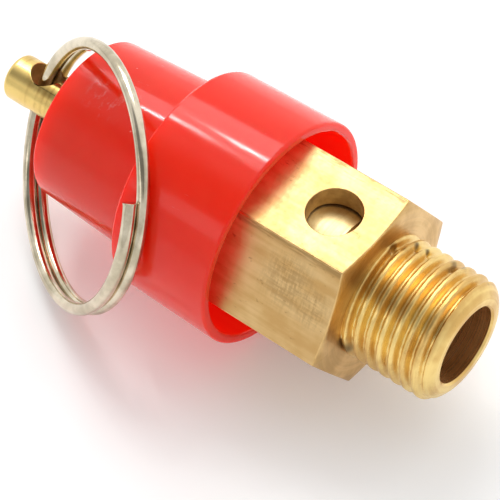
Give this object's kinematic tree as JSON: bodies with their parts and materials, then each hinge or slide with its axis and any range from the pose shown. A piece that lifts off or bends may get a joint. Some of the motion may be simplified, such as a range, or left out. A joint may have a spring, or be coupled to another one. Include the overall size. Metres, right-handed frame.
{
  "type": "pressure relief valve",
  "caption": "Spring-loaded brass pressure relief valve with a threaded inlet, hexagon, red stepped cap and a pull ring through its stem.",
  "frame": {"origin": "on the valve's axis at the hexagon's front shoulder, where the inlet thread starts", "axes": "+X along the valve's axis out of the inlet, +Z out of the upper vent hole in one of the hexagon's faces, +Y = Z x X"},
  "size_m": [0.0569, 0.0287, 0.0264],
  "materials": {
    "brass_body": "drawn hexagon bar, turned faces",
    "brass_stem": "turned",
    "red_cap": "moulded or anodised, satin gloss",
    "seal_rubber": "matt black",
    "spring_steel": "drawn wire",
    "brass_screw": "turned",
    "ring_steel": "nickel-plated wire"
  },
  "bodies": {
    "valve": {"valve_body": "brass_body", "cap": "red_cap", "spring_washer": "spring_steel", "adjusting_screw": "brass_screw", "lock_ring": "brass_screw", "spring": "spring_steel"},
    "lift": {"stem": "brass_stem", "disc_holder": "brass_stem", "seal_disc": "seal_rubber"},
    "ring": {"split_ring": "ring_steel"}
  },
  "joints": [
    {"name": "stem_lift", "type": "slide", "parent": "valve", "child": "lift", "axis": [-1, 0, 0], "range_m": [0, 0.0025], "stiffness_N_per_m": 6000, "springref_m": -0.001, "deforming": ["spring"]},
    {"name": "ring_swing", "type": "hinge", "parent": "lift", "child": "ring", "pos_m": [-0.043, 0, 0], "axis": [0, -0.4226, -0.9063], "range_deg": [0, 295]}
  ]
}
